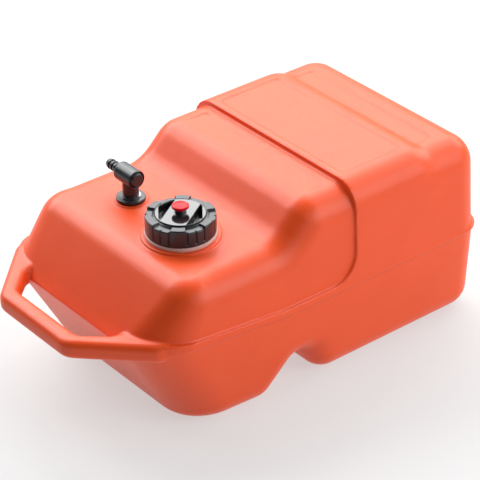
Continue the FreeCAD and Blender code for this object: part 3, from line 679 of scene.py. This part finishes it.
# %% Material helpers
def linear(code):
    """A screen colour such as '#E8502F' as linear red, green, blue and alpha."""
    parts = [int(code[i:i + 2], 16) / 255 for i in (1, 3, 5)]
    light = [part / 12.92 if part <= 0.04045 else ((part + 0.055) / 1.055) ** 2.4 for part in parts]
    return (*light, 1.0)


def add(tree, kind, settings=None, inputs=None):
    """Adds a node with its settings; an input is a value or the output that feeds it."""
    made = tree.nodes.new(kind)
    for name, value in (settings or {}).items():
        setattr(made, name, value)
    for socket, value in (inputs or {}).items():
        if isinstance(value, bpy.types.NodeSocket):
            tree.links.new(value, made.inputs[socket])
        else:
            made.inputs[socket].default_value = value
    return made


def new_material(name, code, roughness, ior=1.5, metallic=0.0):
    """A material with its plain values set on the shader itself; returns its node tree and the shader."""
    material = bpy.data.materials.new(name)
    material.use_nodes = True
    shader = material.node_tree.nodes["Principled BSDF"]
    shader.inputs["Base Color"].default_value = linear(code)
    shader.inputs["Roughness"].default_value = roughness
    shader.inputs["IOR"].default_value = ior
    shader.inputs["Metallic"].default_value = metallic
    return material, material.node_tree, shader


def paint(material, *pieces):
    """Gives each piece the material, as its only one."""
    for piece in pieces:
        piece.data.materials.clear()
        piece.data.materials.append(material)


print("material helpers ready")

# %% [markdown]
# ### Blow-moulded polyethylene
# High-density polyethylene is waxy: it lets a little light in, so its shadows glow red, and its shine is
# broad and soft. The mould is sand-blasted, which leaves a fine grain of about a millimetre, and the
# blown wall is never quite flat, which bends reflections gently over some tens of millimetres. Three
# noises do this, each at its real size: the finest is the grain, the next the dimpled skin, and the
# widest the waves, which also shade the colour a little.

# %% Polyethylene
grain_size = 0.9 * MM
peel_size = 6 * MM
wave_size = 60 * MM
polyethylene, tree, shader = new_material("blow_moulded_polyethylene", "#E44F24", 0.40, 1.53)
shader.inputs["Subsurface Weight"].default_value = 0.12
shader.inputs["Subsurface Radius"].default_value = (1.0, 0.25, 0.12)
shader.inputs["Subsurface Scale"].default_value = 6 * MM
shader.inputs["Specular IOR Level"].default_value = 0.34
places = add(tree, "ShaderNodeTexCoord")
grain = add(tree, "ShaderNodeTexNoise", inputs={
    "Vector": places.outputs["Object"], "Scale": 1 / grain_size, "Detail": 3.0,
})
peel = add(tree, "ShaderNodeTexNoise", inputs={
    "Vector": places.outputs["Object"], "Scale": 1 / peel_size, "Detail": 2.0,
})
wave = add(tree, "ShaderNodeTexNoise", inputs={
    "Vector": places.outputs["Object"], "Scale": 1 / wave_size, "Detail": 1.0,
})
wave_bump = add(tree, "ShaderNodeBump", inputs={
    "Height": wave.outputs[0], "Strength": 0.25, "Distance": 1.2 * MM,
})
peel_bump = add(tree, "ShaderNodeBump", inputs={
    "Height": peel.outputs[0], "Strength": 0.35, "Distance": 0.3 * MM, "Normal": wave_bump.outputs[0],
})
grain_bump = add(tree, "ShaderNodeBump", inputs={
    "Height": grain.outputs[0], "Strength": 0.5, "Distance": 0.18 * MM, "Normal": peel_bump.outputs[0],
})
tree.links.new(grain_bump.outputs[0], shader.inputs["Normal"])
tint = add(tree, "ShaderNodeMix", {"data_type": "RGBA"}, {
    0: wave.outputs[0], 6: linear("#E85220"), 7: linear("#DF4A1B"),
})
tree.links.new(tint.outputs[2], shader.inputs["Base Color"])
dull = add(tree, "ShaderNodeMapRange", inputs={
    "Value": peel.outputs[0], "From Min": 0.3, "From Max": 0.7, "To Min": 0.37, "To Max": 0.44,
})
tree.links.new(dull.outputs[0], shader.inputs["Roughness"])
paint(polyethylene, shell_skin, neck, boss, *neck_threads)
print("polyethylene on", shell_skin.name)

# %% [markdown]
# ### Black nylon
# The fittings are glass-filled nylon, injection moulded: nearly black, with a soft shine and a faint
# mottle of about a millimetre where the glass comes near the surface. The mottle moves both the surface
# and its roughness a little.

# %% Moulded nylon
mottle_size = 1.2 * MM
nylon, tree, shader = new_material("moulded_black_nylon", "#202429", 0.30, 1.53)
places = add(tree, "ShaderNodeTexCoord")
mottle = add(tree, "ShaderNodeTexNoise", inputs={
    "Vector": places.outputs["Object"], "Scale": 1 / mottle_size, "Detail": 4.0,
})
mottle_bump = add(tree, "ShaderNodeBump", inputs={
    "Height": mottle.outputs[0], "Strength": 0.2, "Distance": 0.05 * MM,
})
tree.links.new(mottle_bump.outputs[0], shader.inputs["Normal"])
dull = add(tree, "ShaderNodeMapRange", inputs={
    "Value": mottle.outputs[0], "From Min": 0.3, "From Max": 0.7, "To Min": 0.26, "To Max": 0.38,
})
tree.links.new(dull.outputs[0], shader.inputs["Roughness"])
paint(nylon, cap_shell, elbow, barrel_plug, hose_tail, flange, *cap_threads)
print("nylon on", cap_shell.name)

# %% [markdown]
# The cap's inner part comes from a polished half of the mould, so it is the glossiest face of all: its
# web mirrors the light behind the tank almost sharply. A ripple of some millimetres, as cooling leaves
# it, bends that mirror a little.

# %% Polished nylon
ripple_size = 9 * MM
glossy_nylon, tree, shader = new_material("polished_black_nylon", "#1E2022", 0.12, 1.53)
shader.inputs["Coat Weight"].default_value = 0.3
shader.inputs["Coat Roughness"].default_value = 0.08
places = add(tree, "ShaderNodeTexCoord")
ripple = add(tree, "ShaderNodeTexNoise", inputs={
    "Vector": places.outputs["Object"], "Scale": 1 / ripple_size, "Detail": 2.0,
})
ripple_bump = add(tree, "ShaderNodeBump", inputs={
    "Height": ripple.outputs[0], "Strength": 0.2, "Distance": 0.2 * MM,
})
tree.links.new(ripple_bump.outputs[0], shader.inputs["Normal"])
paint(glossy_nylon, cap_insert)
print("polished nylon on", cap_insert.name)

# %% [markdown]
# ### Red ABS
# The vent knob is ABS coloured through, a deep crimson with a satin skin. Its mirror is kept weak,
# because the bright boxes above would otherwise wash the red out to pink.

# %% Red ABS
knob_ripple_size = 3 * MM
abs_red, tree, shader = new_material("moulded_red_abs", "#BE0419", 0.3, 1.52)
shader.inputs["Specular IOR Level"].default_value = 0.12
shader.inputs["Coat Weight"].default_value = 0.04
shader.inputs["Coat Roughness"].default_value = 0.08
places = add(tree, "ShaderNodeTexCoord")
ripple = add(tree, "ShaderNodeTexNoise", inputs={
    "Vector": places.outputs["Object"], "Scale": 1 / knob_ripple_size, "Detail": 2.0,
})
ripple_bump = add(tree, "ShaderNodeBump", inputs={
    "Height": ripple.outputs[0], "Strength": 0.15, "Distance": 0.1 * MM,
})
tree.links.new(ripple_bump.outputs[0], shader.inputs["Normal"])
paint(abs_red, vent_knob)
print("red ABS on", vent_knob.name)

# %% [markdown]
# ### Rubber, brass, acetal and steel
# The ring under the cap is a greyish pink rubber and the hidden seals are black nitrile rubber. The
# vent's stem is turned brass, the vent's seat, the dip tube and its strainer are milky acetal, and the
# clip is stamped stainless strip. All have one even grain, so one function makes them, with the grain's
# size and depth in millimetres.

# %% Small finishes
def grained(name, code, roughness, grain_mm, depth_mm, ior=1.5, metallic=0.0):
    """A material with one fine, even grain."""
    material, tree, shader = new_material(name, code, roughness, ior, metallic)
    places = add(tree, "ShaderNodeTexCoord")
    grain = add(tree, "ShaderNodeTexNoise", inputs={
        "Vector": places.outputs["Object"], "Scale": 1 / (grain_mm * MM), "Detail": 3.0,
    })
    bump = add(tree, "ShaderNodeBump", inputs={
        "Height": grain.outputs[0], "Strength": 0.4, "Distance": depth_mm * MM,
    })
    tree.links.new(bump.outputs[0], shader.inputs["Normal"])
    return material


pink_rubber = grained("moulded_pink_rubber", "#C9A19B", 0.55, 0.6, 0.05, 1.52)
black_rubber = grained("moulded_nitrile_rubber", "#1B1B1C", 0.6, 0.5, 0.05, 1.52)
brass = grained("turned_brass", "#B08D4A", 0.3, 0.3, 0.02, metallic=1.0)
acetal = grained("moulded_acetal", "#E4E1D6", 0.4, 0.8, 0.03, 1.48)
steel = grained("stamped_stainless_strip", "#8F9194", 0.32, 0.3, 0.02, metallic=1.0)
paint(pink_rubber, seal_ring)
paint(brass, nodes["vent_stem"])
paint(acetal, nodes["vent_seat"], nodes["dip_tube"], nodes["inlet_strainer"])
paint(steel, nodes["retaining_clip"])
paint(black_rubber, *(nodes[name] for name in (
    "cap_gasket", "vent_o_ring", "flange_gasket", "swivel_o_ring_upper", "swivel_o_ring_lower",
    "plug_o_ring", "barb_o_ring",
)))
print("small finishes ready")

# %% [markdown]
# ## Floor
# The photograph is a catalogue picture on a white sweep. A pure white floor would throw as much light up
# at the tank's foot as the boxes throw down. So the paper is greyer than it looks and glows faintly,
# which keeps it pale, keeps the foot of the tank in shade and leaves a soft shadow.

# %% Floor
floor_half = 12
floor_mesh = bpy.data.meshes.new("floor")
floor_mesh.from_pydata([
    (-floor_half, -floor_half, 0), (floor_half, -floor_half, 0), (floor_half, floor_half, 0),
    (-floor_half, floor_half, 0),
], [], [(0, 1, 2, 3)])
floor = new_object("floor", floor_mesh)
white_paper, tree, shader = new_material("matt_white_paper", "#8C8C8C", 0.9)
shader.inputs["Emission Color"].default_value = (1.0, 1.0, 1.0, 1.0)
shader.inputs["Emission Strength"].default_value = 0.52
paint(white_paper, floor)
print("floor laid")

# %% [markdown]
# ## Light
# Large soft boxes stand all round. The ones behind and to the left are the strongest: the top mirrors
# them towards the camera and turns pale, while the sides keep their full colour. Each box has the same
# size and distance, and a brightness, which is what a mirror in its place would show.

# %% Studio
world = bpy.data.worlds.new("studio")
bpy.context.scene.world = world
world.use_nodes = True
world.node_tree.nodes["Background"].inputs["Color"].default_value = (1.0, 1.0, 1.0, 1.0)
world.node_tree.nodes["Background"].inputs["Strength"].default_value = 0.05

box_size = 1.8
box_distance = 2.6
lit_point = Vector((0, 0, 0.12))


def soft_box(name, azimuth, elevation, brightness):
    """A square soft box that faces the tank; azimuth from +X, both angles in degrees."""
    turn = math.radians(azimuth)
    lift = math.radians(elevation)
    direction = Vector((math.cos(turn) * math.cos(lift), math.sin(turn) * math.cos(lift), math.sin(lift)))
    light = bpy.data.lights.new(name, "AREA")
    light.shape = "SQUARE"
    light.size = box_size
    light.energy = brightness * math.pi * box_size ** 2
    lamp = bpy.data.objects.new(name, light)
    lamp.location = lit_point + direction * box_distance
    lamp.rotation_euler = (-direction).to_track_quat("-Z", "Y").to_euler()
    bpy.context.scene.collection.objects.link(lamp)


soft_box("back_low_box", 143, 25, 1.7)
soft_box("back_high_box", 143, 47, 4.6)
soft_box("back_right_box", 95, 35, 5.0)
soft_box("left_box", 188, 38, 8.2)
soft_box("right_front_box", 0, 30, 1.3)
soft_box("right_back_box", 36, 28, 4.0)
bpy.context.scene.view_settings.view_transform = "Standard"
print("studio lit")
